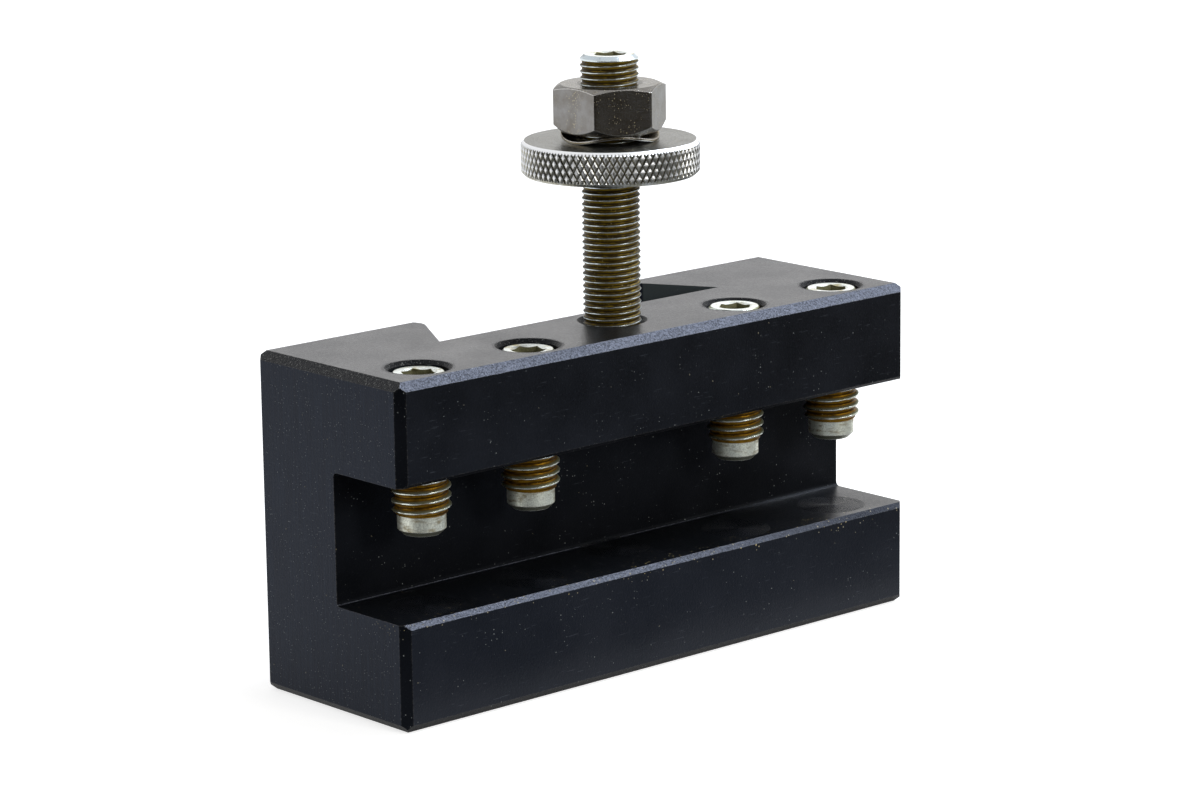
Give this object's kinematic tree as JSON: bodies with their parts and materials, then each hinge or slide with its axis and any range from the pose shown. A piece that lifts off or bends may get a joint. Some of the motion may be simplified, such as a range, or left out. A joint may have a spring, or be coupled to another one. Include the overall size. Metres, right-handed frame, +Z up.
{
  "type": "turning tool holder",
  "caption": "Quick-change lathe tool holder: slotted steel block with a rear dovetail, dog-point clamp screws over the slot, and a stud carrying a knurled height nut and a lock nut.",
  "frame": {"origin": "middle of the length, on the dovetail floor, at the underside of the block", "axes": "+X along the tool slot, +Y out of the dovetail towards the tool post, +Z up along the height stud"},
  "size_m": [0.1138, 0.0384, 0.1019],
  "materials": {
    "blackened_steel": "blackened, satin",
    "zinc_screw": "zinc plated",
    "zinc_stud": "zinc plated",
    "bright_nut": "polished",
    "spring_steel": "bright",
    "satin_nut": "satin nickel"
  },
  "bodies": {
    "holder": {"holder_body": "blackened_steel", "height_stud": "zinc_stud"},
    "clamp_screw_1": {"clamp_screw_1": "zinc_screw"},
    "clamp_screw_2": {"clamp_screw_2": "zinc_screw"},
    "clamp_screw_3": {"clamp_screw_3": "zinc_screw"},
    "clamp_screw_4": {"clamp_screw_4": "zinc_screw"},
    "washer": {"wave_washer": "spring_steel"},
    "height_nut": {"height_nut": "bright_nut"},
    "lock_nut": {"lock_nut": "satin_nut"}
  },
  "joints": [
    {"name": "clamp_screw_1_travel", "type": "slide", "parent": "holder", "child": "clamp_screw_1", "axis": [0, 0, 1], "range_m": [-0.012, 0.0095]},
    {"name": "clamp_screw_2_travel", "type": "slide", "parent": "holder", "child": "clamp_screw_2", "axis": [0, 0, 1], "range_m": [-0.012, 0.0095]},
    {"name": "clamp_screw_3_travel", "type": "slide", "parent": "holder", "child": "clamp_screw_3", "axis": [0, 0, 1], "range_m": [-0.012, 0.0095]},
    {"name": "clamp_screw_4_travel", "type": "slide", "parent": "holder", "child": "clamp_screw_4", "axis": [0, 0, 1], "range_m": [-0.012, 0.0095]},
    {"name": "height_travel", "type": "slide", "parent": "holder", "child": "washer", "axis": [0, 0, 1], "range_m": [-0.024, 0.004]},
    {"name": "height_nut_turn", "type": "hinge", "parent": "washer", "child": "height_nut", "pos_m": [0, -0.0073, 0.0848], "axis": [0, 0, 1], "range_deg": [-8160, 1360]},
    {"name": "lock_nut_travel", "type": "slide", "parent": "washer", "child": "lock_nut", "axis": [0, 0, 1], "range_m": [0, 0.004]}
  ],
  "couplings": [
    {"joint": "height_travel", "follows": "height_nut_turn", "m_per_rad": 0.00016844}
  ]
}
